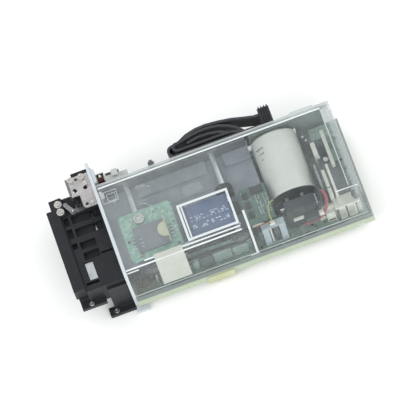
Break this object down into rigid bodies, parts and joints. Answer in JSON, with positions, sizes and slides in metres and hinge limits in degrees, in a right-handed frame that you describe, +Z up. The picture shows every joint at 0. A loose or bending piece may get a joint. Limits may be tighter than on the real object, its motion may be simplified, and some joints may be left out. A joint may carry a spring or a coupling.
{
  "type": "motorised card reader",
  "caption": "Motor-driven card reader under a clear dust cover, with a black card throat in front, a clear flange, drive rollers, reading stations, boards and a large capacitor.",
  "frame": {"origin": "middle of the card path at the front face of the clear flange, on the underside of the base", "axes": "+Y is the way the card goes in, +Z up, +X towards the side with the belts and the sticker"},
  "size_m": [0.1044, 0.2275, 0.063],
  "materials": {
    "zinc_steel": "zinc plated",
    "pale_tray": "moulded, satin",
    "green_board": "solder mask",
    "black_chip": "moulded epoxy",
    "clear_cover": "clear moulded polycarbonate",
    "clear_flange": "clear polycarbonate sheet",
    "yellow_catch": "moulded",
    "black_moulding": "moulded, fine grain",
    "bright_steel": "stainless",
    "black_screw": "black zinc",
    "nickel": "nickel plated",
    "white_zinc": "pale zinc casting",
    "grey_steel": "phosphated",
    "copper_coil": "varnished copper",
    "white_nylon": "moulded nylon",
    "black_cable": "soft vinyl",
    "dark_acetal": "moulded acetal",
    "grey_guide": "moulded",
    "rubber": "moulded",
    "brass_pulley": "turned",
    "cream_plastic": "moulded",
    "blue_label": "printed film",
    "white_paper": "paper",
    "grey_shell": "moulded",
    "white_sleeve": "shrunk vinyl",
    "red_wire": "vinyl",
    "dark_wire": "vinyl"
  },
  "bodies": {
    "reader": {"base_plate": "zinc_steel", "base_tray": "pale_tray", "main_board": "green_board", "board_parts": "black_chip", "edge_headers": "black_chip", "clear_cover": "clear_cover", "flange_plate": "clear_flange", "cover_latch": "yellow_catch", "bezel_lip": "black_moulding", "bezel_body": "black_moulding", "throat_block": "black_moulding", "window_plate": "bright_steel", "bezel_screws": "black_screw", "pad_screws": "nickel", "latch_block": "black_moulding", "mounting_plate": "white_zinc", "plate_screws": "nickel", "lever_bracket": "grey_steel", "solenoid_frame": "zinc_steel", "solenoid_coil": "copper_coil", "side_connector": "white_nylon", "ground_stud": "nickel", "cable_loop": "black_cable", "cable_clamp": "black_cable", "far_side_plate": "bright_steel", "near_side_plate": "bright_steel", "upper_guide": "grey_guide", "lower_guide": "black_moulding", "drive_motor": "grey_steel", "short_belt": "rubber", "long_belt": "rubber", "contact_frame": "bright_steel", "control_board": "green_board", "controller_chip": "black_chip", "backup_cell": "cream_plastic", "knurled_screw": "nickel", "label_plate": "blue_label", "wall_sticker": "white_paper", "driver_board": "green_board", "driver_blocks": "grey_shell", "capacitor": "white_sleeve", "capacitor_holder": "black_moulding", "rear_board": "green_board", "rear_connectors": "cream_plastic", "red_wire": "red_wire", "dark_wire": "dark_wire"},
    "front_drive": {"front_shaft": "bright_steel", "front_rollers": "rubber", "front_pulley": "dark_acetal"},
    "rear_drive": {"rear_shaft": "bright_steel", "rear_rollers": "rubber", "rear_pulley": "dark_acetal"},
    "motor_rotor": {"motor_pulley": "brass_pulley"},
    "front_pinch": {"front_pinch_roller": "white_nylon"},
    "rear_pinch": {"rear_pinch_roller": "white_nylon"},
    "shutter": {"shutter_blade": "bright_steel"},
    "plunger": {"solenoid_plunger": "nickel"},
    "lever": {"entry_lever": "grey_steel"},
    "head": {"magnetic_head": "bright_steel"},
    "contacts": {"contact_block": "green_board"}
  },
  "joints": [
    {"name": "front_drive_spin", "type": "hinge", "parent": "reader", "child": "front_drive", "pos_m": [0, 0.0234, 0.0426], "axis": [1, 0, 0], "continuous": true},
    {"name": "rear_drive_spin", "type": "hinge", "parent": "reader", "child": "rear_drive", "pos_m": [0, 0.0908, 0.0426], "axis": [1, 0, 0], "continuous": true},
    {"name": "motor_spin", "type": "hinge", "parent": "reader", "child": "motor_rotor", "pos_m": [0, 0.012, 0.0174], "axis": [1, 0, 0], "continuous": true},
    {"name": "front_pinch_spin", "type": "hinge", "parent": "reader", "child": "front_pinch", "pos_m": [0, 0.0234, 0.0305], "axis": [1, 0, 0], "continuous": true},
    {"name": "rear_pinch_spin", "type": "hinge", "parent": "reader", "child": "rear_pinch", "pos_m": [0, 0.0908, 0.0305], "axis": [1, 0, 0], "continuous": true},
    {"name": "shutter_slide", "type": "slide", "parent": "reader", "child": "shutter", "axis": [0, 0, 1], "range_m": [-0.004, 0], "stiffness_N_per_m": 60, "springref_m": 0.004},
    {"name": "plunger_slide", "type": "slide", "parent": "reader", "child": "plunger", "axis": [0, 0, 1], "range_m": [-0.004, 0]},
    {"name": "lever_swing", "type": "hinge", "parent": "reader", "child": "lever", "pos_m": [-0.0264, -0.0196, 0.0438], "axis": [0, 0, 1], "range_deg": [-25, 0], "stiffness_Nm_per_rad": 0.002, "springref_deg": 17.19},
    {"name": "head_float", "type": "slide", "parent": "reader", "child": "head", "axis": [0, 0, 1], "range_m": [-0.0008, 0], "stiffness_N_per_m": 300, "springref_m": 0.002},
    {"name": "contact_press", "type": "slide", "parent": "reader", "child": "contacts", "axis": [0, 0, 1], "range_m": [-0.0016, 0], "stiffness_N_per_m": 200, "springref_m": 0.003}
  ],
  "couplings": [
    {"joint": "rear_drive_spin", "follows": "front_drive_spin", "ratio": 1},
    {"joint": "motor_spin", "follows": "front_drive_spin", "ratio": 1.7},
    {"joint": "front_pinch_spin", "follows": "front_drive_spin", "ratio": -1.1296},
    {"joint": "rear_pinch_spin", "follows": "front_drive_spin", "ratio": -1.1296},
    {"joint": "plunger_slide", "follows": "shutter_slide", "ratio": 1}
  ]
}
